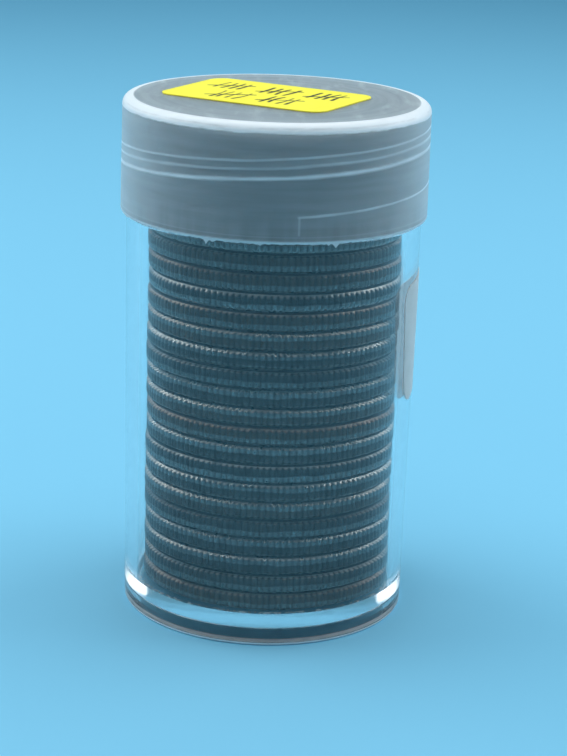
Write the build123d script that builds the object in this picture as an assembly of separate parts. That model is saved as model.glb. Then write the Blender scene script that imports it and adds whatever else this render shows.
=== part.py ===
from build123d import *
import math
import os

# A clear round tube with a screw cap, packed with a stack of reeded coins. Millimetres and degrees.
# The axis is Z, the foot stands on z = 0, and the front is towards -Y.

# Coins
coin_count = 25
coin_diameter = 26.5
coin_thickness = 2.0
coin_rim_width = 1.3
coin_field_depth = 0.12
coin_bevel_height = 0.2
coin_bevel_inset = 0.15
reed_count = 133
reed_depth = 0.14
bevel_ledge = 0.02        # the bevels start this far inside the grooves between the reeds
stack_shift = 0.28        # the loose stack lies this far to the right of the tube's axis
coin_stray = 0.1          # each coin lies up to this far from the middle of the stack
coin_spin = 137.5         # turn from one coin to the next

# Tube
bore_clearance = 0.5      # round a coin at the floor
bore_draft = 0.2
tube_wall = 1.35          # at the floor
tube_draft = 0.4
floor_thickness = 1.7
foot_recess = 1.5         # hollow under the floor
foot_width = 1.7
foot_round = 0.3
floor_round = 0.35        # inside corner between the floor and the wall
headroom = 0.3            # between the stack and the mouth
neck_height = 10.9
neck_wall = 0.6           # at the mouth

# Screw thread, one right-hand start
thread_lead = 5.8
rib_height = 0.45
rib_root_width = 1.9
rib_crest_width = 1.1
rib_sink = 0.25           # a rib's root is let into its wall by this much
crest_clearance = 0.18    # between a rib's crest and the wall that it faces
flank_clearance = 0.25    # between the two ribs, along the axis
cap_rib_start = -81.0     # angle round the axis where the cap's rib begins, near the skirt's edge
neck_rib_lag = 60.0       # the neck's rib begins this much further round
rib_to_edge = 0.75        # from the skirt's edge up to the cap's rib
rib_to_plate = 0.5        # from the cap's rib up to its plate
rib_to_rim = 0.3          # from the neck's rib up to the mouth

# Cap
skirt_wall = 0.8
skirt_gap = 0.2           # between the skirt and the tube's shoulder
skirt_lead_in = 0.35      # chamfer inside the skirt's edge
cap_draft = 0.45
cap_plate = 1.0
cap_edge_round = 0.9

# Paper labels, both of one cut
label_length = 19.05
label_width = 12.7
label_corner = 1.8
label_thickness = 0.1
label_glue = 0.06         # film between a label and what it is stuck on
cap_label_x = -1.1
cap_label_y = 0.8
cap_label_turn = -28.5
side_label_middle = 10.5  # angle round the axis of the side label's middle
side_label_z = 30.9
side_label_tilt = 5.0

# Worked out from the sizes above
coin_radius = coin_diameter / 2
groove_radius = coin_radius - reed_depth
field_radius = coin_radius - coin_rim_width
floor_top = foot_recess + floor_thickness
rim_z = floor_top + coin_count * coin_thickness + headroom
shoulder_z = rim_z - neck_height
bore_radius = coin_radius + bore_clearance
mouth_radius = bore_radius + (rim_z - floor_top) * math.tan(math.radians(bore_draft))
tube_radius = bore_radius + tube_wall
shoulder_radius = tube_radius + shoulder_z * math.tan(math.radians(tube_draft))
foot_inner_radius = tube_radius - foot_width
neck_radius = mouth_radius + neck_wall
neck_crest_radius = neck_radius + rib_height
cap_bore_radius = neck_crest_radius + crest_clearance
cap_crest_radius = neck_radius + crest_clearance
cap_radius = cap_bore_radius + skirt_wall
skirt_z = shoulder_z + skirt_gap
cap_top_z = rim_z + cap_plate
cap_top_radius = cap_radius - (cap_top_z - skirt_z) * math.tan(math.radians(cap_draft))

# The cap's rib hangs under the neck's rib, its upper flank one clearance below the other's lower flank.
# Where the ribs pass each other, each has this part of its flank's slope inside the other's reach.
flank_slope = (rib_root_width - rib_crest_width) / 2
flank_share = 1 - crest_clearance / rib_height
rib_drop = rib_crest_width + flank_slope * flank_share + flank_clearance
cap_rib_z = skirt_z + rib_to_edge + rib_root_width / 2
cap_rib_turns = (rim_z - rib_to_plate - rib_root_width / 2 - cap_rib_z) / thread_lead
neck_rib_start = cap_rib_start + neck_rib_lag
neck_rib_z = cap_rib_z + rib_drop + thread_lead * neck_rib_lag / 360
neck_rib_turns = (rim_z - rib_to_rim - rib_root_width / 2 - neck_rib_z) / thread_lead


def lathe(*outline):
    # turns a closed outline of (radius, height) points and lines round the axis
    face = make_face(Plane.XZ * Polyline(*outline, close=True))
    return revolve(face, Axis.Z)


def thread_rib(root_radius, crest_radius, start_angle, start_z, turns):
    # a trapezoid carried up a helix, square at both ends, its flanks running on into the wall behind it
    sunk_radius = root_radius - math.copysign(rib_sink, crest_radius - root_radius)
    half_crest = rib_crest_width / 2
    half_sunk = half_crest + flank_slope * (rib_height + rib_sink) / rib_height
    outline = Polyline(
        (sunk_radius, -half_sunk),
        (crest_radius, -half_crest),
        (crest_radius, half_crest),
        (sunk_radius, half_sunk),
        close=True,
    )
    climb = Helix(pitch=thread_lead, height=thread_lead * turns, radius=root_radius)
    rib = sweep(make_face(Plane.XZ * outline), climb, is_frenet=True)
    return Pos(0, 0, start_z) * Rot(0, 0, start_angle) * rib


def make_tube():
    # one outline for the wall, floor, foot ring, shoulder and neck, then the neck's rib
    body = lathe(
        (0, foot_recess),
        (foot_inner_radius, foot_recess),
        (foot_inner_radius, 0),
        (tube_radius, 0),
        (shoulder_radius, shoulder_z),
        (neck_radius, shoulder_z),
        (neck_radius, rim_z),
        (mouth_radius, rim_z),
        (bore_radius, floor_top),
        (0, floor_top),
    )
    circles = body.edges().filter_by(GeomType.CIRCLE)
    foot_edges = circles.filter_by_position(Axis.Z, -foot_round / 2, foot_round / 2)
    body = fillet(foot_edges, foot_round)
    circles = body.edges().filter_by(GeomType.CIRCLE)
    corner = circles.filter_by_position(Axis.Z, floor_top, floor_top)
    body = fillet(corner, floor_round)
    return body + thread_rib(neck_radius, neck_crest_radius, neck_rib_start, neck_rib_z, neck_rib_turns)


def make_cap():
    # plate and skirt from one outline, the top edge rounded, then the rib inside the skirt
    shell = lathe(
        (0, rim_z),
        (cap_bore_radius, rim_z),
        (cap_bore_radius, skirt_z + skirt_lead_in),
        (cap_bore_radius + skirt_lead_in, skirt_z),
        (cap_radius, skirt_z),
        (cap_top_radius, cap_top_z),
        (0, cap_top_z),
    )
    circles = shell.edges().filter_by(GeomType.CIRCLE)
    top_edge = circles.filter_by_position(Axis.Z, cap_top_z, cap_top_z)
    shell = fillet(top_edge, cap_edge_round)
    return shell + thread_rib(cap_bore_radius, cap_crest_radius, cap_rib_start, cap_rib_z, cap_rib_turns)


def label_outline():
    return RectangleRounded(label_length, label_width, label_corner)


def make_cap_label():
    place = Pos(cap_label_x, cap_label_y, cap_top_z + label_glue) * Rot(0, 0, cap_label_turn)
    return place * extrude(label_outline(), label_thickness)


def make_side_label():
    # a thin layer round the tube's wall, cut to the label's outline as seen square on
    wall_slope = math.tan(math.radians(tube_draft))
    low_z = side_label_z - label_width
    high_z = side_label_z + label_width
    low_radius = tube_radius + label_glue + low_z * wall_slope
    high_radius = tube_radius + label_glue + high_z * wall_slope
    layer = lathe(
        (low_radius, low_z),
        (low_radius + label_thickness, low_z),
        (high_radius + label_thickness, high_z),
        (high_radius, high_z),
    )
    middle_radius = tube_radius + side_label_z * wall_slope
    chord = 2 * middle_radius * math.sin(label_length / middle_radius / 2)
    facing = Plane(origin=(0, 0, side_label_z), x_dir=(0, 1, 0), z_dir=(1, 0, 0))
    outline = RectangleRounded(chord, label_width, label_corner)
    cutter = extrude(facing * Rot(0, 0, side_label_tilt) * outline, 2 * shoulder_radius)
    return Rot(0, 0, side_label_middle) * (layer & cutter)


def coin_face(outer_z, inner_z):
    # the bevelled rim and the sunken field at one end, from the face at outer_z in to the reeds at inner_z
    inward = math.copysign(1, inner_z - outer_z)
    bevel_radius = groove_radius - bevel_ledge
    field_z = outer_z + inward * coin_field_depth
    return lathe(
        (0, inner_z),
        (bevel_radius, inner_z),
        (bevel_radius - coin_bevel_inset, outer_z),
        (field_radius, outer_z),
        (field_radius - coin_field_depth, field_z),
        (0, field_z),
    )


def make_coin():
    # a band of reeds between two bevelled faces, standing on z = 0
    reed_pitch = 2 * math.pi / reed_count
    outline = []
    for reed in range(reed_count):
        for radius, angle in ((coin_radius, reed * reed_pitch), (groove_radius, (reed + 0.5) * reed_pitch)):
            outline.append((radius * math.cos(angle), radius * math.sin(angle)))
    band_height = coin_thickness - 2 * coin_bevel_height
    band = Pos(0, 0, coin_bevel_height) * extrude(make_face(Polyline(*outline, close=True)), band_height)
    lower_face = coin_face(0, coin_bevel_height)
    upper_face = coin_face(coin_thickness, coin_thickness - coin_bevel_height)
    return band + lower_face + upper_face


def place_coin(coin, index):
    # coins lie a little off the stack's middle, each turned on from the one below
    turn = index * coin_spin
    stray = coin_stray * math.sin(math.radians(2 * turn))
    offset_x = stack_shift + stray * math.cos(math.radians(turn))
    offset_y = stray * math.sin(math.radians(turn))
    return Pos(offset_x, offset_y, floor_top + index * coin_thickness) * Rot(0, 0, turn) * coin


os.makedirs("parts", exist_ok=True)
export_step(make_tube(), "parts/tube.step")
export_step(make_cap(), "parts/cap.step")
export_step(make_cap_label(), "parts/cap_label.step")
export_step(make_side_label(), "parts/side_label.step")
coin_blank = make_coin()
for coin_index in range(coin_count):
    export_step(place_coin(coin_blank, coin_index), f"parts/coin_{coin_index + 1:02d}.step")
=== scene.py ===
import bpy
import math
import numpy as np
from mathutils import Matrix, Vector


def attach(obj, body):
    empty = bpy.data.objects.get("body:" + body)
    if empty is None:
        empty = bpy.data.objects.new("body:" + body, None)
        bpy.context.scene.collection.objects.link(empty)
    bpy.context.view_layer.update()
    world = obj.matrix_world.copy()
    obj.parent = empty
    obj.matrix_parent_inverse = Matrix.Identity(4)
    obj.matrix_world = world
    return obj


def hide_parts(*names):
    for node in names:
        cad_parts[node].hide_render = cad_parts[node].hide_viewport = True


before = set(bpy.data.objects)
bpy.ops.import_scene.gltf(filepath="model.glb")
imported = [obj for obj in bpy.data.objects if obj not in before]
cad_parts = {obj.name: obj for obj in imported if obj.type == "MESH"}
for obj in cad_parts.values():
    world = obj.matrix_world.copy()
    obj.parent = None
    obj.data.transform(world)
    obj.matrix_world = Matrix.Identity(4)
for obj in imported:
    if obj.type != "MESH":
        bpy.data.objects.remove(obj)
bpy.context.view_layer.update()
print("frame loaded, nodes:", len(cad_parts))

mm = 0.001  # all sizes below are in millimetres, the scene is in metres
fullTurn = 2 * math.pi
scene = bpy.context.scene
scene.view_settings.view_transform = "Standard"
# enough bounces to see through the clear foot
scene.cycles.max_bounces = 20
scene.cycles.glossy_bounces = 12
scene.cycles.transmission_bounces = 16


class Wire:  # one socket of a node tree; sums on wires add Math nodes
    def __init__(self, tree, socket=None):
        self.tree = tree
        self.socket = socket

    def node(self, kind, settings=(), values=(), out=0):
        made = self.tree.nodes.new(kind)
        for key, value in dict(settings).items():
            setattr(made, key, value)
        for key, value in dict(values).items():
            if isinstance(value, Wire):
                self.tree.links.new(value.socket, made.inputs[key])
            else:
                made.inputs[key].default_value = value
        return Wire(self.tree, made.outputs[out] if len(made.outputs) else None)

    def sum(self, operation, a, b=0.0):
        return self.node("ShaderNodeMath", {"operation": operation}, {0: a, 1: b})

    def __add__(self, other):
        return self.sum("ADD", self, other)

    def __radd__(self, other):
        return self.sum("ADD", other, self)

    def __sub__(self, other):
        return self.sum("SUBTRACT", self, other)

    def __rsub__(self, other):
        return self.sum("SUBTRACT", other, self)

    def __mul__(self, other):
        return self.sum("MULTIPLY", self, other)

    def __truediv__(self, other):
        return self.sum("DIVIDE", self, other)

    def __pow__(self, other):
        return self.sum("POWER", self, other)

    def step(self, low, high):  # 0 below low, 1 above high, eased between
        return self.node("ShaderNodeMapRange", {"interpolation_type": "SMOOTHSTEP"},
                         {"Value": self, "From Min": low, "From Max": high})

    def band(self, rise, fall):  # up over one pair of values and down again over the other
        return self.step(*rise) * (1 - self.step(*fall))

    def near(self, middle, reach):  # 1 at the middle, 0 from the reach outwards
        return 1 - self.sum("ABSOLUTE", self - middle).step(0.0, reach)

    # a Mix node has its colours at sockets 6 and 7 and at output 2
    def mix(self, a, b):  # this wire is the share of colour b
        return self.node("ShaderNodeMix", {"data_type": "RGBA"}, {0: self, 6: a, 7: b}, 2)

    def tint(self, colour):  # colour times this value
        grey = self.node("ShaderNodeCombineColor", {}, {0: self, 1: self, 2: self})
        return self.node("ShaderNodeMix", {"data_type": "RGBA", "blend_type": "MULTIPLY"},
                         {0: 1.0, 6: colour, 7: grey}, 2)

    def noise(self, scale, detail, stretch=(1, 1, 1)):  # on Object coordinates, 0 to 1
        spot = self.node("ShaderNodeTexCoord", {}, {}, "Object")
        spot = self.node("ShaderNodeMapping", {}, {"Vector": spot, "Scale": stretch})
        return self.node("ShaderNodeTexNoise", {}, {"Vector": spot, "Scale": scale, "Detail": detail})

    def spot(self):  # x, y and z on Object coordinates, in mm
        spot = self.node("ShaderNodeTexCoord", {}, {}, "Object")
        spot = self.node("ShaderNodeVectorMath", {"operation": "SCALE"}, {0: spot, "Scale": 1 / mm})
        return [self.node("ShaderNodeSeparateXYZ", {}, {0: spot}, axis) for axis in range(3)]

    def place(self):  # radius from the axis and height
        x, y, height = self.spot()
        return (x * x + y * y) ** 0.5, height

    def turns(self):  # angle round the axis, from -0.5 to 0.5 of a turn
        x, y = self.spot()[:2]
        return self.sum("ARCTAN2", y, x) / fullTurn

    def rings(self, stretch, scale):  # noise drawn out round the axis
        radius, height = self.place()
        spot = self.node("ShaderNodeCombineXYZ", {}, {0: self.turns() * stretch, 1: radius, 2: height})
        return self.node("ShaderNodeTexNoise", {}, {"Vector": spot, "Scale": scale, "Detail": 3.0})

    def mark(self, name):  # a number that the piece keeps at each of its points
        return self.node("ShaderNodeAttribute", {"attribute_name": name}, {}, "Fac")

    def bump(self, height, strength, distance):
        return self.node("ShaderNodeBump", {}, {"Height": height, "Strength": strength, "Distance": distance})


def newFinish(name):
    finish = bpy.data.materials.new(name)
    finish.use_nodes = True
    finish.node_tree.nodes.clear()
    return finish, Wire(finish.node_tree)


def principled(wire, **values):  # underscores stand for the spaces in its socket names
    return wire.node("ShaderNodeBsdfPrincipled", {}, {k.replace("_", " "): v for k, v in values.items()})


def surface(wire, **values):  # a material of one Principled shader
    wire.node("ShaderNodeOutputMaterial", {}, {"Surface": principled(wire, **values)})


def mixedSurface(wire, share, under, over):  # share is how much of the second shader shows
    both = wire.node("ShaderNodeMixShader", {}, {0: share, 1: under, 2: over})
    wire.node("ShaderNodeOutputMaterial", {}, {"Surface": both})


def srgb(red, green, blue):  # screen colour from 0 to 255, made linear
    part = np.array([red, green, blue]) / 255
    return (*np.where(part <= 0.04045, part / 12.92, ((part + 0.055) / 1.055) ** 2.4), 1.0)


def eased(value):  # 0 to 1 with a level start and end
    value = np.clip(value, 0, 1)
    return value * value * (3 - 2 * value)


weldCell = {"size": 0.002, "shift": 0.317}  # the shift keeps round numbers off the cells' borders


def joinGrids(grids):
    # points and four-cornered faces of several grids, each rows by columns by xyz; points that fall into one
    # cell become one, and keep says which point of the grids each of them was
    points = np.concatenate([grid.reshape(-1, 3) for grid, marks in grids])
    faces = []
    first = 0
    for grid, marks in grids:
        rows, columns = grid.shape[:2]
        index = first + np.arange(rows * columns).reshape(rows, columns)
        corners = [index[:-1, :-1], index[:-1, 1:], index[1:, 1:], index[1:, :-1]]
        faces.append(np.stack(corners, -1).reshape(-1, 4))
        first += rows * columns
    cells = np.floor(points / weldCell["size"] + weldCell["shift"]).astype(np.int64)
    keep, place = np.unique(cells, axis=0, return_index=True, return_inverse=True)[1:]
    return points[keep], place.reshape(-1)[np.concatenate(faces)], keep


def outwardFaces(points, faces):
    # a face that lost a corner becomes a triangle or goes; the volume that all faces enclose, added up from
    # the middle, is below zero where they point inwards, and then they are turned round
    same = faces == np.roll(faces, -1, axis=1)
    crossed = (faces[:, 0] == faces[:, 2]) | (faces[:, 1] == faces[:, 3])
    quads = faces[(same.sum(1) == 0) & ~crossed]
    single = (same.sum(1) == 1) & ~crossed
    triangles = faces[single][~same[single]].reshape(-1, 3)
    halves = np.concatenate([quads[:, :3], triangles, quads[:, [0, 2, 3]]])
    a, b, c = (points[halves[:, corner]] for corner in range(3))
    if np.einsum("ij,ij->", a, np.cross(b, c)) < 0:
        return quads[:, ::-1], triangles[:, ::-1]
    return quads, triangles


def meshPiece(name, grids, finish, body, nodes=(), sharpAngle=38):
    # one closed mesh from grids of points in mm, with the numbers that each grid marks on its points
    points, faces, keep = joinGrids(grids)
    quads, triangles = outwardFaces(points, faces)
    corners = np.concatenate([quads.ravel(), triangles.ravel()]).astype(np.int32)
    sizes = np.concatenate([np.full(len(quads), 4), np.full(len(triangles), 3)])
    starts = np.concatenate([[0], np.cumsum(sizes)[:-1]]).astype(np.int32)
    mesh = bpy.data.meshes.new(name)
    mesh.vertices.add(len(points))
    mesh.vertices.foreach_set("co", (points * mm).ravel().astype(np.float32))
    mesh.loops.add(len(corners))
    mesh.loops.foreach_set("vertex_index", corners)
    mesh.polygons.add(len(sizes))
    mesh.polygons.foreach_set("loop_start", starts)
    mesh.update(calc_edges=True)
    mesh.shade_smooth()
    mesh.set_sharp_from_angle(angle=math.radians(sharpAngle))
    for mark in grids[0][1]:
        numbers = [np.broadcast_to(marks[mark], grid.shape[:2]).ravel() for grid, marks in grids]
        numbers = np.concatenate(numbers)[keep].astype(np.float32)
        mesh.attributes.new(mark, "FLOAT", "POINT").data.foreach_set("value", numbers)
    mesh.materials.append(finish)
    piece = bpy.data.objects.new(name, mesh)
    scene.collection.objects.link(piece)
    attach(piece, body)
    if nodes:
        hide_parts(*nodes)
    return piece


def roundedOutline(corners, steps=8):
    # (radius, height, rounding) corners; each rounded one becomes an arc that meets both its sides, with a
    # guard point just beyond each end, so that the flat sides keep their own normals
    guard = 0.03
    line = []
    for i, (radius, height, rounding) in enumerate(corners):
        here = np.array([radius, height])
        if rounding == 0:
            line.append(here)
            continue
        back = np.array(corners[i - 1][:2]) - here
        on = np.array(corners[i + 1][:2]) - here
        back = back / np.linalg.norm(back)
        on = on / np.linalg.norm(on)
        half = math.acos(float(np.clip(back @ on, -1, 1))) / 2
        middle = here + (back + on) / np.linalg.norm(back + on) * rounding / math.sin(half)
        start = here + back * rounding / math.tan(half)
        end = here + on * rounding / math.tan(half)
        share = np.linspace(0, 1, steps)[:, None]
        arc = (start - middle) * (1 - share) + (end - middle) * share
        line.append(start + back * guard)
        line.extend(middle + arc / np.linalg.norm(arc, axis=1)[:, None] * rounding)
        line.append(end + on * guard)
    return np.array(line)


def carried(radius, angles, height):  # points at a radius, an angle round the axis and a height
    return np.stack(np.broadcast_arrays(radius * np.cos(angles), radius * np.sin(angles), height), -1)


def turned(outline, angles):  # each (radius, height) point of the outline carried round the axis
    return carried(outline[:, :1], angles, outline[:, 1:])


ribStrip = {"rows": 33, "outerRows": 4, "margin": 0.3, "turnsBefore": 3, "turnsAfter": 4}


def threadedWall(wall, rib, lowZ, highZ, columns):
    # a strip one lead high that climbs round the wall like a ribbon, its z held between lowZ and highZ;
    # the wall's radius changes by the rib's height where the strip is within the rib's half width
    half = rib["root"] / 2
    reach = half + ribStrip["margin"]
    first = -ribStrip["turnsBefore"] * columns
    last = ribStrip["turnsAfter"] * columns
    along = np.arange(first, last + 1) * fullTurn / columns
    outside = np.linspace(reach, rib["lead"] / 2, ribStrip["outerRows"])[1:]
    across = np.concatenate([-outside[::-1], np.linspace(-reach, reach, ribStrip["rows"]), outside])
    across, along = np.meshgrid(across, along, indexing="ij")
    flank = eased((half - np.abs(across)) / (rib["root"] - rib["crest"]) * 2)
    left = rib["turns"] * fullTurn - along
    ends = np.clip(along / rib["fade"], 0, 1) * np.clip(left / rib["fade"], 0, 1)
    radius = wall + rib["height"] * flank * ends
    height = np.clip(rib["z"] + rib["lead"] * along / fullTurn + across, lowZ, highZ)
    return carried(radius, along + math.radians(rib["angle"]), height)


# Camera, as fitted to the photograph
cameraPlace = {"at": (0.0, -214.46, 90.19), "yaw": 0.425, "down": 17.06, "roll": -1.94, "lens": 100.0,
               "sensor": 36, "near": 0.01, "far": 20}


def addCamera(place):
    yaw, down, roll = (math.radians(place[angle]) for angle in ("yaw", "down", "roll"))
    ahead = Vector((math.sin(yaw) * math.cos(down), math.cos(yaw) * math.cos(down), -math.sin(down)))
    right = Vector((math.cos(yaw), -math.sin(yaw), 0))
    below = ahead.cross(right)
    side = math.cos(roll) * right + math.sin(roll) * below
    top = math.sin(roll) * right - math.cos(roll) * below
    data = bpy.data.cameras.new("camera")
    data.lens = place["lens"]
    data.sensor_width = place["sensor"]
    data.sensor_fit = "AUTO"
    data.clip_start = place["near"]
    data.clip_end = place["far"]
    camera = bpy.data.objects.new("camera", data)
    turnTo = Matrix((side, top, -ahead)).transposed().to_4x4()
    camera.matrix_world = Matrix.Translation(Vector(place["at"]) * mm) @ turnTo
    scene.collection.objects.link(camera)
    scene.camera = camera


addCamera(cameraPlace)
print("camera set")

# Floor, lamps and world: a pale blue studio, in metres and watts, dark only towards the front
studio = {"floor": srgb(126, 194, 223), "backdrop": srgb(128, 202, 234), "room": srgb(190, 196, 198),
          "level": 0.47, "front": 0.12, "frontFrom": (1.15, 1.8), "reach": 6.0, "aim": (0, 0, 0.028)}
lamps = {"top": {"at": (-0.03, 0.05, 0.55), "size": (0.6, 0.6), "watts": 2.25},
         "left": {"at": (-0.36, 0.1, 0.24), "size": (0.4, 0.36), "watts": 0.86},
         "right": {"at": (0.36, 0.1, 0.24), "size": (0.4, 0.36), "watts": 0.86}}


def addFloor(studio):
    finish, wire = newFinish("floorPaper")
    surface(wire, Base_Color=studio["floor"], Roughness=0.85, Specular_IOR_Level=0.2)
    far = studio["reach"]
    mesh = bpy.data.meshes.new("floor")
    mesh.from_pydata([(-far, -far, 0), (far, -far, 0), (far, far, 0), (-far, far, 0)], [], [(0, 1, 2, 3)])
    mesh.materials.append(finish)
    floor = bpy.data.objects.new("floor", mesh)
    scene.collection.objects.link(floor)


def addLamp(name, lamp, aim):
    data = bpy.data.lights.new(name, "AREA")
    data.shape = "RECTANGLE"
    data.size, data.size_y = lamp["size"]
    data.energy = lamp["watts"]
    light = bpy.data.objects.new(name, data)
    light.location = lamp["at"]
    light.rotation_euler = (Vector(aim) - Vector(lamp["at"])).to_track_quat("-Z", "Y").to_euler()
    scene.collection.objects.link(light)


def addWorld(studio):
    # the backdrop, seen straight, through the clear plastic and as light; dark in front where gloss shows it
    world = bpy.data.worlds.new("studio")
    world.use_nodes = True
    world.node_tree.nodes.clear()
    wire = Wire(world.node_tree)
    bounced = wire.node("ShaderNodeLightPath", {}, {}, "Glossy Depth")
    direction = wire.node("ShaderNodeTexCoord", {}, {}, "Generated")
    ahead = wire.node("ShaderNodeSeparateXYZ", {}, {0: direction}, "Y")
    front = (1 - ahead).step(*studio["frontFrom"])
    dark = wire.sum("MINIMUM", bounced, 1.0) * front
    glow = (1 - dark * (1 - studio["front"])) * studio["level"]
    colour = front.mix(studio["backdrop"], studio["room"])
    shader = wire.node("ShaderNodeBackground", {}, {"Color": colour, "Strength": glow})
    wire.node("ShaderNodeOutputWorld", {}, {"Surface": shader})
    scene.world = world


addFloor(studio)
for lampName, lamp in lamps.items():
    addLamp(lampName, lamp, studio["aim"])
addWorld(studio)
print("studio lit")

# Tube: clear hard plastic, with a threaded neck under the cap
tube = {"footInner": 13.4, "foot": 15.1, "footRound": 0.3, "recess": 1.5, "recessRound": 0.14,
        "floorTop": 3.2, "floorRound": 0.04, "shoulder": 15.397, "shoulderZ": 42.6, "shoulderRound": 0.2,
        "neck": 14.526, "neckLow": 0.25, "neckHigh": 0.2, "mouth": 13.926, "rimZ": 53.5, "rimRound": 0.15,
        "bore": 13.75, "columns": 360}
neckRib = {"angle": -21.0, "z": 47.057, "turns": 0.895, "lead": 5.8, "height": 0.45, "root": 1.9,
           "crest": 1.1, "fade": math.radians(1.5)}
tubeLook = {"clear": (0.965, 0.985, 0.99, 1), "bend": 1.57, "rough": 0.015, "smudge": 0.03, "scratch": 0.1,
            "footRough": 0.05, "footZ": (2.5, 4.5), "frosted": srgb(248, 249, 250), "frostedRough": 0.5,
            "frost": 0.75, "frostPatch": 0.4, "frostZ": (0.24, 0.42), "crumbs": 0.8,
            "crumbRadius": ((13.3, 13.5), (13.9, 14.0)), "crumbZ": ((3.0, 3.15), (3.35, 3.5))}


def clearPlastic(look):
    # clear, with faint scratches and smudges; frosted by wear under the foot ring, with crumbs along the
    # inside corner of the floor
    finish, wire = newFinish("clearPlastic")
    scratches = wire.noise(900, 3, (1, 1, 0.06)).step(0.6, 0.78)
    smudges = wire.noise(140, 4, (1, 1, 0.5)).step(0.5, 0.75)
    radius, height = wire.place()
    corner = radius.band(*look["crumbRadius"]) * height.band(*look["crumbZ"])
    crumbs = corner * wire.noise(1700, 2).step(0.5, 0.6)
    worn = (1 - height.step(*look["frostZ"])) * (look["frost"] + wire.noise(400, 3) * look["frostPatch"])
    rough = look["rough"] + smudges * (look["smudge"] + scratches * look["scratch"])
    rough = rough + (1 - height.step(*look["footZ"])) * look["footRough"]
    clear = principled(wire, Base_Color=look["clear"], Roughness=rough, IOR=look["bend"],
                       Transmission_Weight=1.0)
    frosted = principled(wire, Base_Color=look["frosted"], Roughness=look["frostedRough"], IOR=look["bend"])
    mixedSurface(wire, worn + crumbs * look["crumbs"], clear, frosted)
    return finish


def buildTube(tube, rib, finish):
    # one outline from the middle of the foot's hollow, round the wall and neck, to the middle of the floor,
    # turned about the axis, with the rib's strip between the shoulder and the rim
    angles = np.linspace(0, fullTurn, tube["columns"] + 1) + math.radians(rib["angle"])
    lowNeck = tube["shoulderZ"] + tube["neckLow"]
    highNeck = tube["rimZ"] - tube["neckHigh"]
    outer = roundedOutline([
        (0, tube["recess"], 0),
        (tube["footInner"], tube["recess"], tube["recessRound"]),
        (tube["footInner"], 0, tube["footRound"]),
        (tube["foot"], 0, tube["footRound"]),
        (tube["shoulder"], tube["shoulderZ"], tube["shoulderRound"]),
        (tube["neck"], tube["shoulderZ"], tube["shoulderRound"]),
        (tube["neck"], lowNeck, 0)])
    inner = roundedOutline([
        (tube["neck"], highNeck, 0),
        (tube["neck"], tube["rimZ"], tube["rimRound"]),
        (tube["mouth"], tube["rimZ"], tube["rimRound"]),
        (tube["bore"], tube["floorTop"], tube["floorRound"]),
        (0, tube["floorTop"], 0)])
    wall = threadedWall(tube["neck"], rib, lowNeck, highNeck, tube["columns"])
    grids = [(grid, {}) for grid in (turned(outer, angles), wall, turned(inner, angles))]
    return meshPiece("tubeShell", grids, finish, "tube", ["tube"])


tubeShell = buildTube(tube, neckRib, clearPlastic(tubeLook))
print("tube:", len(tubeShell.data.polygons), "faces")

# Cap: cloudy soft plastic, one rib inside, a ragged film of flash left on its lower edge
cap = {"topZ": 54.5, "top": 15.864, "edgeRound": 0.9, "skirt": 15.956, "skirtZ": 42.8, "skirtRound": 0.12,
       "bore": 15.156, "plateZ": 53.5, "plateRound": 0.3, "leadIn": 0.35, "leadRounds": (0.05, 0.1),
       "boreLow": 0.15, "boreHigh": 0.35, "columns": 360, "arcSteps": 10}
capRib = {"angle": -81.0, "z": 44.5, "turns": 1.302, "lead": 5.8, "height": -0.45, "root": 1.9,
          "crest": 1.1, "fade": math.radians(1.0)}
# painted highlight lines over the rib, partly thicker cloudy plastic and partly painted glints: height above
# its middle, half width, whiteness, turn where the line starts
threadGlints = [(-0.95, 0.3, 0.75, 0.45), (0.1, 0.24, 0.34, 0.45), (0.95, 0.2, 0.42, -0.12)]
glintLineLook = {"waver": 0.3, "least": 0.35, "uneven": 1.3, "fade": 0.15, "end": 0.2, "endWidth": 0.002,
            "endReach": (0.8, 1.0), "begin": 0.003, "stop": 0.005}
# the film's ripples: waves round the edge, shift, height; its tags: angle, drop, half width in degrees
flash = {"outer": 15.93, "inner": 15.83, "rootZ": 43.0, "columns": 2160, "rough": 0.05, "least": 0.01,
         "tip": 0.02, "mean": 1.2, "tagShape": 1.5,
         "ripples": [(37, 0.4, 0.4), (91, 1.9, 0.35), (163, 4.0, 0.3), (11, 2.2, 0.4)],
         "tags": [(-160, 0.14, 2.5), (-114.3, 0.5, 1.3), (-112.0, 0.2, 2.0), (-94.5, 0.14, 0.9),
                  (-67.2, 0.38, 1.6), (-70.0, 0.2, 0.8), (-44.0, 0.12, 5.0), (52.0, 0.2, 2.0),
                  (118.0, 0.3, 1.4), (163.0, 0.14, 4.0)]}
cloudyLook = {"clear": (0.97, 0.99, 1, 1), "milky": (srgb(238, 243, 245), srgb(250, 252, 252)), "bend": 1.51,
              "rough": 0.2, "cloudRough": 0.05, "milkyRough": 0.42, "cloudMilk": 0.04}
capLook = cloudyLook | {
    "milk": 0.19, "scatter": 0.0025, "insideRough": 0.4, "insideRadius": (15.2, 15.45),
    # edge keys: the top edge's ring, partly a painted highlight; groove and the band after it dim its upper
    # part
    "edge": 0.4, "edgeBands": 0.9, "edgeRadius": (14.6, 14.9), "edgeZ": (53.48, 53.68), "edgeWaver": 0.2,
    "groove": 0.35, "grooveZ": ((53.92, 54.02), (54.12, 54.24)),
    "plate": 0.07, "plateZ": (53.9, 54.2), "plateRim": 0.08, "plateRimRadius": (12.0, 15.0), "scuffs": 0.12,
    "lowEdge": 0.8, "lowEdgeZ": (42.9, 43.12), "lowLine": 0.06, "lowLineZ": ((43.35, 43.45), (43.47, 43.57)),
    "smears": 0.16, "streakZ": (43.0, 47.0), "slant": 0.35, "slantFrom": (0.2, 0.9)}
flashLook = cloudyLook | {"milk": 0.9, "scatter": 0.0002}


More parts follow.
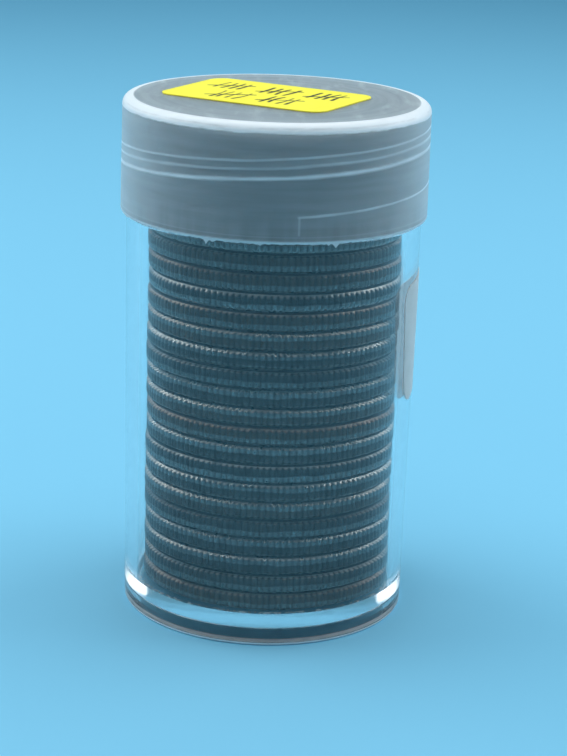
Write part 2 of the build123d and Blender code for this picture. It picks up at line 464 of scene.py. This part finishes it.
def ribGlintLines(wire, rib, lines, look):
    # painted highlight lines on the skirt over the rib, whiter where its thicker edges would catch light:
    # how far a point is above the rib's middle, measured up the wall, is its height less the height that
    # the helix has at its angle, taken on the nearest turn
    height = wire.place()[1]
    turn = wire.sum("FRACT", wire.turns() - rib["angle"] / 360)
    climb = (height - rib["z"]) / rib["lead"]
    along = turn + wire.sum("ROUND", climb - turn)
    above = (climb - along) * rib["lead"] + (wire.rings(14.0, 1.1) - 0.5) * look["waver"]
    uneven = look["least"] + wire.rings(9.0, 1.6) * look["uneven"]
    veil = 0.0
    for up, width, share, start in lines:
        veil = above.near(up, width) * along.step(start, start + look["fade"]) * uneven * share + veil
    end = along.near(0.0, look["endWidth"]) * (1 - wire.sum("ABSOLUTE", above).step(*look["endReach"]))
    onRib = (1 - along.step(rib["turns"] - look["stop"], rib["turns"])) * along.step(-look["begin"], 0.0)
    return (veil + end * look["end"]) * onRib


def capVeilAndHighlight(wire, look, radius, height, plate):
    # where the cap is whiter than its plain wall: its plate; its top edge, partly the thicker cloudy plastic
    # of the rounding and partly a painted highlight for the light it catches; its lower edge, a line above
    # that, smears round the skirt, and a slanting view, which has more of the wall to cross
    bands = wire.rings(20.0, 2.2)
    wavering = height + (bands - 0.5) * look["edgeWaver"]
    # painted highlight: the top edge's ring, whiter than the cloudy plastic alone would make it
    topEdgeHighlight = radius.step(*look["edgeRadius"]) * wavering.step(*look["edgeZ"])
    # the groove share dims the upper part of the painted highlight, so it is brightest low on the rounding
    topEdgeHighlight = topEdgeHighlight * (1 - height.band(*look["grooveZ"]) * look["groove"])
    scuffs = wire.noise(700, 4, (1, 0.25, 1)).step(0.5, 0.8)
    top = look["plate"] + radius.step(*look["plateRimRadius"]) * look["plateRim"] + scuffs * look["scuffs"]
    lowEdge = 1 - height.step(*look["lowEdgeZ"])
    lowLine = height.band(*look["lowLineZ"])
    streaks = (wire.noise(800, 2, (1, 1, 0.07)) - 0.5) * (1 - height.step(*look["streakZ"]))
    smears = wire.rings(7.0, 1.3) - 0.5 + streaks
    slant = wire.node("ShaderNodeLayerWeight", {}, {"Blend": 0.5}, "Facing").step(*look["slantFrom"])
    veil = plate * top + topEdgeHighlight * (look["edge"] + bands * look["edgeBands"])
    veil = veil + lowEdge * look["lowEdge"] + lowLine * look["lowLine"] + smears * look["smears"]
    return veil + slant * (1 - plate) * look["slant"]


def cloudyPlastic(name, look, rib=None):
    # clear plastic under a milky veil; a moulding with a rib is whiter in places, with painted highlights on
    # its top edge and over the rib's outline, and rough inside, so that what is behind it blurs
    finish, wire = newFinish(name)
    clouds = wire.noise(160, 4)
    fine = wire.bump(wire.noise(5200, 2), 0.06, 0.00003)
    veil = look["milk"] + clouds * look["cloudMilk"]
    rough = look["rough"] + clouds * look["cloudRough"]
    if rib:
        radius, height = wire.place()
        plate = height.step(*look["plateZ"])
        veil = veil + capVeilAndHighlight(wire, look, radius, height, plate) + ribGlintLines(wire, rib, threadGlints, glintLineLook)
        veil = wire.sum("MAXIMUM", wire.sum("MINIMUM", veil, 1.0), 0.0)
        rough = rough + (1 - radius.step(*look["insideRadius"])) * (1 - plate) * look["insideRough"]
    clear = principled(wire, Base_Color=look["clear"], Roughness=rough, IOR=look["bend"],
                       Transmission_Weight=1.0, Normal=fine)
    milky = principled(wire, Base_Color=clouds.mix(*look["milky"]), Roughness=look["milkyRough"],
                       IOR=look["bend"], Subsurface_Weight=1.0, Subsurface_Radius=(1, 1, 1),
                       Subsurface_Scale=look["scatter"], Normal=fine)
    mixedSurface(wire, veil, clear, milky)
    return finish


def buildCap(cap, rib, finish):
    # one outline from the middle of the top, down the skirt, up inside to the plate, turned about the axis
    angles = np.linspace(0, fullTurn, cap["columns"] + 1) + math.radians(rib["angle"])
    leadZ = cap["skirtZ"] + cap["leadIn"]
    lowBore = leadZ + cap["boreLow"]
    highBore = cap["plateZ"] - cap["boreHigh"]
    outer = roundedOutline([
        (0, cap["topZ"], 0),
        (cap["top"], cap["topZ"], cap["edgeRound"]),
        (cap["skirt"], cap["skirtZ"], cap["skirtRound"]),
        (cap["bore"] + cap["leadIn"], cap["skirtZ"], cap["leadRounds"][0]),
        (cap["bore"], leadZ, cap["leadRounds"][1]),
        (cap["bore"], lowBore, 0)], cap["arcSteps"])
    inner = roundedOutline([
        (cap["bore"], highBore, 0),
        (cap["bore"], cap["plateZ"], cap["plateRound"]),
        (0, cap["plateZ"], 0)])
    wall = threadedWall(cap["bore"], rib, lowBore, highBore, cap["columns"])
    grids = [(grid, {}) for grid in (turned(outer, angles), wall, turned(inner, angles))]
    return meshPiece("capShell", grids, finish, "cap", ["cap"])


def buildFlash(flash, cap, finish):
    # a thin film round the skirt's lower edge; its depth is a small ripple and a few pointed tags
    angles = np.linspace(-math.pi, math.pi, flash["columns"] + 1)
    waves = [height * np.sin(count * angles + shift) for count, shift, height in flash["ripples"]]
    depth = flash["rough"] * sum(waves, flash["mean"])
    for tag, drop, width in flash["tags"]:
        away = (np.degrees(angles) - tag + 180) % 360 - 180
        depth = depth + drop * np.clip(1 - np.abs(away) / width, 0, 1) ** flash["tagShape"]
    lowZ = cap["skirtZ"] - np.maximum(depth, flash["least"])
    middle = (flash["outer"] + flash["inner"]) / 2
    outline = [(middle, flash["rootZ"]), (flash["outer"], flash["rootZ"]), (flash["outer"], cap["skirtZ"]),
               (middle + flash["tip"], lowZ), (middle - flash["tip"], lowZ), (flash["inner"], cap["skirtZ"]),
               (flash["inner"], flash["rootZ"]), (middle, flash["rootZ"])]
    grid = np.stack([carried(radius, angles, height) for radius, height in outline])
    return meshPiece("capFlash", [(grid, {})], finish, "cap")


capShell = buildCap(cap, capRib, cloudyPlastic("cloudyPlastic", capLook, capRib))
capFlash = buildFlash(flash, cap, cloudyPlastic("flashFilm", flashLook))
print("cap:", len(capShell.data.polygons), "faces, flash:", len(capFlash.data.polygons))

# Labels: two small paper stickers with rounded corners, one with a tally of the coins in ink
label = {"length": 19.05, "width": 12.7, "corner": 1.8, "thick": 0.1}
capSticker = {"x": -1.1, "y": 0.8, "turn": -28.5, "z": 54.52, "columns": 220, "rows": 150,
              "paper": {"colour": srgb(255, 243, 72), "shade": srgb(252, 234, 58), "glow": 0.0}}
sideSticker = {"angle": 10.5, "z": 30.9, "tilt": 5.0, "wall": 15.1, "draft": 0.4, "glue": -0.02,
               "columns": 110, "rows": 74, "lift": 0.16, "liftFrom": (5.5, 1.5), "liftOver": (4, 4.8),
               "paper": {"colour": srgb(234, 235, 231), "shade": srgb(220, 221, 215), "glow": 0.8}}
tally = {"gates": [(-5.4, 2.5), (0.2, 2.3), (5.6, 2.6), (-2.9, -2.6), (2.9, -2.4)], "gap": 0.95, "tall": 3.5,
         "slash": (-2.2, -0.32, 2.2, 0.3), "shake": 0.11, "bow": 0.1, "bowUp": 0.4, "pen": 0.17,
         "penLeast": 0.85, "penSwell": 0.3, "penWave": 2.6, "penShift": 3, "soft": 0.06, "seed": 11,
         "ink": (0.012, 0.012, 0.014, 1)}
paperLook = {"fibres": 0.35, "stain": 0.65, "toneFrom": (0.25, 0.8), "rough": 0.5, "fibreRough": 0.25,
             "gloss": 0.35, "scatter": 0.001}


def labelGrid(label, rows, columns):
    # flat sheet: rows across the width, each row as long as the rounded corners let it be
    v = np.sin(np.linspace(-0.5, 0.5, rows) * math.pi) * label["width"] / 2
    into = np.clip(np.abs(v) - (label["width"] / 2 - label["corner"]), 0, None)
    reach = label["length"] / 2 - label["corner"] + np.sqrt(label["corner"] ** 2 - into ** 2)
    return reach[:, None] * np.linspace(-1, 1, columns), np.broadcast_to(v[:, None], (rows, columns))


def swung(x, y, degrees, atX=0.0, atY=0.0):  # x and y turned about their origin, which goes to atX, atY
    turn = math.radians(degrees)
    return atX + x * math.cos(turn) - y * math.sin(turn), atY + x * math.sin(turn) + y * math.cos(turn)


def inkOn(x, y, tally):
    # 1 on the pen's line and 0 off it: nearness to the nearest of the tally's strokes, each a little bowed
    rng = np.random.default_rng(tally["seed"])
    ink = np.zeros_like(x)
    strokes = [(k - 1.5, -0.5, k - 1.5, 0.5) for k in range(4)] + [tally["slash"]]
    for gateX, gateY in tally["gates"]:
        for x0, y0, x1, y1 in strokes:
            shake = rng.normal(0, tally["shake"], 4)
            startX = gateX + x0 * tally["gap"] + shake[0]
            startY = gateY + y0 * tally["tall"] + shake[1]
            runX = gateX + x1 * tally["gap"] + shake[2] - startX
            runY = gateY + y1 * tally["tall"] + shake[3] - startY
            share = np.clip(((x - startX) * runX + (y - startY) * runY) / (runX ** 2 + runY ** 2), 0, 1)
            bow = rng.normal(0, tally["bow"]) * np.sin(share * math.pi)
            away = np.hypot(x - startX - share * runX - bow, y - startY - share * runY + bow * tally["bowUp"])
            swell = np.sin(share * tally["penWave"] + rng.random() * tally["penShift"])
            pen = tally["pen"] * (tally["penLeast"] + tally["penSwell"] * swell)
            ink = np.maximum(ink, eased((pen + tally["soft"] - away) / (2 * tally["soft"])))
    return ink


def paperFinish(name, paper, look, ink=None):
    # stained and fibrous paper, with ink where the sheet's own mark says so
    finish, wire = newFinish(name)
    fibres = wire.noise(6500, 5)
    stain = wire.noise(260, 3)
    tone = (fibres * look["fibres"] + stain * look["stain"]).step(*look["toneFrom"])
    tone = tone.mix(paper["shade"], paper["colour"])
    if ink:
        tone = wire.mark("ink").mix(tone, ink)
    surface(wire, Base_Color=tone, Roughness=look["rough"] + fibres * look["fibreRough"],
            Specular_IOR_Level=look["gloss"], Subsurface_Weight=paper["glow"], Subsurface_Radius=(1, 1, 1),
            Subsurface_Scale=look["scatter"], Normal=wire.bump(fibres, 0.25, 0.00002))
    return finish


def sheetEdge(sheet):  # once round the border of a grid of points
    return np.concatenate([sheet[0, :], sheet[1:, -1], sheet[-1, -2::-1], sheet[-2::-1, 0]])


def sheetGrids(top, under, marks):
    # top and underside of a sheet and the band round its edge
    plain = {mark: 0.0 for mark in marks}
    return [(top, marks), (under[::-1], plain), (np.stack([sheetEdge(under), sheetEdge(top)]), plain)]


def buildCapLabel(label, place, tally):
    # the flat sheet turned and set down on the cap's plate
    x, y = labelGrid(label, place["rows"], place["columns"])
    plateX, plateY = swung(x, y, place["turn"], place["x"], place["y"])
    under = np.stack([plateX, plateY, np.full_like(x, place["z"])], -1)
    grids = sheetGrids(under + [0, 0, label["thick"]], under, {"ink": inkOn(x, y, tally)})
    finish = paperFinish("yellowPaper", place["paper"], paperLook, tally["ink"])
    return meshPiece("capLabel", grids, finish, "cap", ["cap_label"])


def buildSideLabel(label, place):
    # the flat sheet turned by its tilt, then wrapped: x runs round the wall and y up it; one corner lifts
    x, y = labelGrid(label, place["rows"], place["columns"])
    along, up = swung(x, y, place["tilt"])
    z = place["z"] + up
    slope = math.tan(math.radians(place["draft"]))
    wall = place["wall"] + z * slope + place["glue"]
    endShare = np.clip((-x - place["liftFrom"][0]) / place["liftOver"][0], 0, 1) ** 2
    sideShare = np.clip((-y - place["liftFrom"][1]) / place["liftOver"][1], 0, 1) ** 2
    radius = wall + place["lift"] * endShare * sideShare
    angle = math.radians(place["angle"]) + along / (place["wall"] + place["z"] * slope)
    grids = sheetGrids(carried(radius + label["thick"], angle, z), carried(radius, angle, z), {})
    finish = paperFinish("whitePaper", place["paper"], paperLook)
    return meshPiece("sideLabel", grids, finish, "tube", ["side_label"])


capLabel = buildCapLabel(label, capSticker, tally)
sideLabel = buildSideLabel(label, sideSticker)
print("labels:", len(capLabel.data.polygons) + len(sideLabel.data.polygons), "faces")

# Coins: clad blanks with reeded edges, a copper core between two nickel layers
coin = {"count": 25, "radius": 13.25, "thick": 2.0, "rim": 1.3, "rimFlat": 0.1, "rimFall": 0.5, "sunk": 0.12,
        "edge": 0.42, "edgeIn": 0.32, "slit": 0.13, "reeds": 133, "reedDepth": 0.14, "reedShape": 1.8,
        "reedFrom": 0.25, "reedOver": 0.6, "perReed": 6, "fineRows": 64, "face": 12.6, "field": 11.9,
        "reliefRadius": 11.6, "relief": 0.1, "stack": 0.28, "stray": 0.1, "spin": 137.5, "seed": 5,
        "sharp": 50, "dentSpread": 0.4, "rubReach": 1.4, "fieldDirt": 0.3, "reliefClean": 3,
        "brown": 0.6, "brownShape": 1.5, "brownest": (0, 1, 9, 15, 17, 18), "browner": 0.4,
        "lightBelow": (0, 1, 4, 7, 9, 12, 15, 16, 17, 18, 19, 22)}  # the rest have the nickel band above
# what differs from coin to coin: the least and the spread of a random draw
coinDraws = {"tone": (0.6, 0.3), "wear": (0.3, 0.7), "edge": (0.8, 0.4), "edgeIn": (0.75, 0.4)}
coinDents = {"count": 3, "round": (0, 6.28), "width": (0.01, 0.02), "depth": (0, 0.04)}
coinLook = {"nickel": (srgb(124, 123, 120), srgb(148, 146, 141)), "brownNickel": srgb(112, 76, 54),
            "copper": (srgb(58, 44, 36), srgb(40, 32, 28)), "brownCopper": srgb(116, 76, 51),
            "dirt": srgb(28, 25, 23), "worn": (srgb(200, 197, 191), srgb(196, 164, 132)),
            "bandFrom": (0.54, 0.61), "bandWaver": 0.24, "core": 0.95, "scuffs": 0.6, "grime": 0.6,
            "nickelBrown": 0.3, "copperBrown": 0.85, "wornBrown": 0.5, "wear": 0.9, "wearGrime": 0.3,
            "grooveDirt": 0.35, "grimeDirt": 0.16, "dirtDull": 0.5, "rough": 0.26, "rougher": 0.1}
relief = {"beads": 96, "beadRing": 11.0, "beadPitch": 0.68, "bead": 0.32, "beadSoft": 0.2, "leaves": 10,
          "leafRing": 8.6, "leaf": 1.3, "leafShape": 0.6, "leafSway": 0.3, "leafSoft": 0.35, "leafHigh": 0.8,
          "points": 8, "star": 2.2, "ray": 2.6, "rayShape": 3, "starSoft": 1.2}


def cladMetal(look):
    # bright nickel faces and a band of it along one side of the edge, the copper of the core drawn over the
    # rest, as a blanking press leaves them; grime in the grooves, scuffs on what stands out
    finish, wire = newFinish("cladMetal")
    names = ("layer", "groove", "tone", "brown", "wear")
    layer, groove, tone, brown, wear = (wire.mark(name) for name in names)
    waver = (wire.noise(420, 4, (1, 1, 0.3)) - 0.5) * look["bandWaver"]
    core = 1 - (waver + layer).step(*look["bandFrom"])
    grime = wire.noise(900, 4).step(0.4, 0.7)
    scuffs = wire.noise(2600, 3, (1, 1, 3)).step(0.5, 0.7)
    nickel = (scuffs * look["scuffs"]).mix(*look["nickel"])
    nickel = (brown * look["nickelBrown"]).mix(nickel, look["brownNickel"])
    copper = (grime * look["grime"]).mix(*look["copper"])
    copper = (brown * look["copperBrown"]).mix(copper, look["brownCopper"])
    dirt = groove * look["grooveDirt"] + grime * look["grimeDirt"]
    colour = dirt.mix((core * look["core"]).mix(nickel, copper), look["dirt"])
    worn = (brown * look["wornBrown"]).mix(*look["worn"])
    colour = (wear * (look["wear"] - grime * look["wearGrime"])).mix(tone.tint(colour), worn)
    rough = look["rough"]
    for rougher in (core, groove, grime):
        rough = rough + rougher * look["rougher"]
    surface(wire, Base_Color=colour, Metallic=1 - dirt * look["dirtDull"], IOR=1.5, Roughness=rough,
            Normal=wire.bump(wire.noise(3000, 3), 0.12, 0.00004))
    return finish


def coinRelief(relief, radius, angle):
    # 0 on the field to 1 at its highest: a ring of beads, a ring of leaves and a star
    alongBead = (angle * relief["beads"] / fullTurn % 1 - 0.5) * relief["beadPitch"]
    beads = eased((relief["bead"] - np.hypot(radius - relief["beadRing"], alongBead)) / relief["beadSoft"])
    leafWidth = np.abs(np.sin(angle * relief["leaves"])) ** relief["leafShape"] * relief["leaf"]
    leafMiddle = relief["leafRing"] + relief["leafSway"] * np.sin(angle * 2 * relief["leaves"])
    leaves = eased((leafWidth - np.abs(radius - leafMiddle)) / relief["leafSoft"])
    rays = np.abs(np.cos(angle * relief["points"] / 2)) ** relief["rayShape"]
    star = eased((relief["star"] + relief["ray"] * rays - radius) / relief["starSoft"])
    return np.maximum(np.maximum(beads, leaves * relief["leafHigh"]), star)


def coinRows(coin, fine):
    # half an outline, from the middle of one face to the middle of the edge: radius, depth below the rim and
    # reed share; the rim falls away to a slit, then a straight bevel with a small rounding at each end
    field = coin["radius"] - coin["rim"]
    inner = np.linspace(0, field - coin["sunk"], coin["fineRows"] if fine else 2)
    fall = np.array([1.0, 0.6, 0.2, 0.05])
    bevelIn = np.array([0.93, 0.8, 0.6, 0.4, 0.2, 0.08, 0.02, 0.0, 0.0]) * coin["edgeIn"]
    bevelDown = np.array([0.06, 0.16, 0.33, 0.5, 0.68, 0.82, 0.93, 1.1, 1.3]) * (coin["edge"] - coin["slit"])
    inward = np.concatenate([coin["edgeIn"] + fall * coin["rimFall"], bevelIn])
    down = np.concatenate([(1 - fall) * coin["slit"], bevelDown + coin["slit"]])
    rim = [field, field + coin["rimFlat"]]
    radius = np.concatenate([inner, rim, coin["radius"] - inward, [coin["radius"]]])
    depth = np.concatenate([np.full(len(inner), coin["sunk"]), [0.0, 0.0], down, [coin["thick"] / 2]])
    share = eased((depth / coin["edge"] - coin["reedFrom"]) / coin["reedOver"]) * (radius > rim[1])
    return radius[:, None], depth[:, None], share[:, None]


def drawn(rng, span, count=None):  # random numbers from the least of the span over its spread
    return span[0] + rng.random(count) * span[1]


def rimDents(rng, angles, dents):
    # a few small dips along the rim, each a bell curve of the angle from its middle
    spans = [drawn(rng, dents[name], dents["count"]) for name in ("round", "width", "depth")]
    dip = 0
    for place, width, depth in zip(*spans):
        away = np.angle(np.exp(1j * (angles - place)))
        dip = dip + depth * np.exp(-(away / width) ** 2)
    return dip


def buildCoin(coin, index, finish):
    # a lower and an upper half outline turned about the coin's own axis; the reeds cut into the radius
    rng = np.random.default_rng(coin["seed"] + index)
    angles = np.linspace(0, fullTurn, coin["reeds"] * coin["perReed"] + 1)
    reed = (0.5 - 0.5 * np.cos(angles * coin["reeds"])) ** coin["reedShape"]
    dents = rimDents(rng, angles, coinDents)
    turn = math.radians(index * coin["spin"])
    stray = coin["stray"] * math.sin(2 * turn)
    middle = [coin["stack"] + stray * math.cos(turn), stray * math.sin(turn), 0]
    tone = drawn(rng, coinDraws["tone"])
    brown = rng.random() ** coin["brownShape"] * coin["brown"] + coin["browner"] * (index in coin["brownest"])
    wear = drawn(rng, coinDraws["wear"])
    edge = coin["edge"] * drawn(rng, coinDraws["edge"])
    edgeIn = coin["edgeIn"] * drawn(rng, coinDraws["edgeIn"])
    grids = []
    for upper in (False, True):
        fine = index == (coin["count"] - 1 if upper else 0)  # only the ends of the stack can be seen
        radius, depth, share = coinRows(coin | {"edge": edge, "edgeIn": edgeIn}, fine)
        raised = 0
        if fine:
            raised = coinRelief(relief, radius, angles) * coin["relief"] * (radius < coin["reliefRadius"])
        cut = share * (coin["reedDepth"] * reed)
        r = radius - cut - (radius > coin["face"]) * dents * (share + coin["dentSpread"])
        depth = depth - raised + 0 * angles
        high = coin["thick"] - depth if upper else depth
        grid = carried(r, angles + turn, tube["floorTop"] + index * coin["thick"] + high) + middle
        side = high / coin["thick"]
        side = 1 - side if index in coin["lightBelow"] else side
        clean = np.minimum(raised * coin["reliefClean"], coin["fieldDirt"])
        hollow = (radius < coin["field"]) * (coin["fieldDirt"] - clean)
        rubbed = (radius > coin["radius"] - edgeIn) * eased(coin["rubReach"] - depth / edge)
        rubbed = rubbed * (1 - share * reed)
        marks = {"layer": np.maximum(side, radius < coin["face"]), "groove": share * reed + hollow,
                 "tone": tone, "brown": brown, "wear": rubbed * wear}
        if upper:
            grid = grid[::-1]
            marks = {name: value[::-1] if np.ndim(value) else value for name, value in marks.items()}
        grids.append((grid, marks))
    number = f"{index + 1:02d}"
    return meshPiece("coin" + number, grids, finish, "coins", ["coin_" + number], coin["sharp"])


coinFinish = cladMetal(coinLook)
coins = [buildCoin(coin, index, coinFinish) for index in range(coin["count"])]
print("coins:", len(coins), "of", len(coins[1].data.polygons), "faces")
